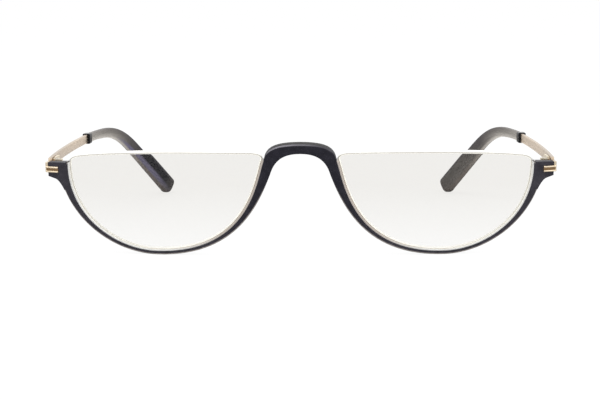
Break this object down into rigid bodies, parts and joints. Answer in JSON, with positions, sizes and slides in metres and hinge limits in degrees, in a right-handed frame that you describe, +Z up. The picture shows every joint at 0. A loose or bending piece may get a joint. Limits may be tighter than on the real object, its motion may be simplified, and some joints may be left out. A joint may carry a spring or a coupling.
{
  "type": "reading glasses",
  "caption": "Half-moon reading glasses with a dark plastic under-rim front, open-topped clear lenses, gold corner bars and folding flat gold temples with dark curved tips.",
  "frame": {"origin": "on the table, at the middle of the box of the open glasses", "axes": "+Z up from the table that the glasses stand on, the front faces -Y, the temples run back along +Y, +X is the picture's right"},
  "size_m": [0.1382, 0.1397, 0.0306],
  "materials": {
    "front_plastic": "satin dark charcoal-navy",
    "lens": "polished clear optical plastic",
    "clear_nylon": "clear nylon",
    "gold_metal": "polished pale gold plating",
    "gold_strip": "brushed champagne gold plating",
    "screw_steel": "turned steel",
    "collar_black": "glossy black",
    "tip_plastic": "satin smoky grey fading to dark"
  },
  "bodies": {
    "front": {"front_frame": "front_plastic", "left_lens": "lens", "right_lens": "lens", "left_rim_liner": "clear_nylon", "right_rim_liner": "clear_nylon", "left_lens_cord": "clear_nylon", "right_lens_cord": "clear_nylon", "left_corner_trim": "gold_metal", "right_corner_trim": "gold_metal", "left_front_hinge_leaf": "gold_metal", "right_front_hinge_leaf": "gold_metal", "left_hinge_screw": "screw_steel", "right_hinge_screw": "screw_steel"},
    "left_temple": {"left_rear_hinge_leaf": "gold_metal", "left_temple_strip": "gold_strip", "left_collar": "collar_black", "left_core_wire": "screw_steel", "left_temple_tip": "tip_plastic"},
    "right_temple": {"right_rear_hinge_leaf": "gold_metal", "right_temple_strip": "gold_strip", "right_collar": "collar_black", "right_core_wire": "screw_steel", "right_temple_tip": "tip_plastic"}
  },
  "joints": [
    {"name": "left_hinge", "type": "hinge", "parent": "front", "child": "left_temple", "pos_m": [-0.06595, -0.05464, 0.02315], "axis": [-0.0314, 0, -0.9995], "range_deg": [0, 78]},
    {"name": "right_hinge", "type": "hinge", "parent": "front", "child": "right_temple", "pos_m": [0.06595, -0.05464, 0.02315], "axis": [0.0314, 0, 0.9995], "range_deg": [0, 78]}
  ]
}
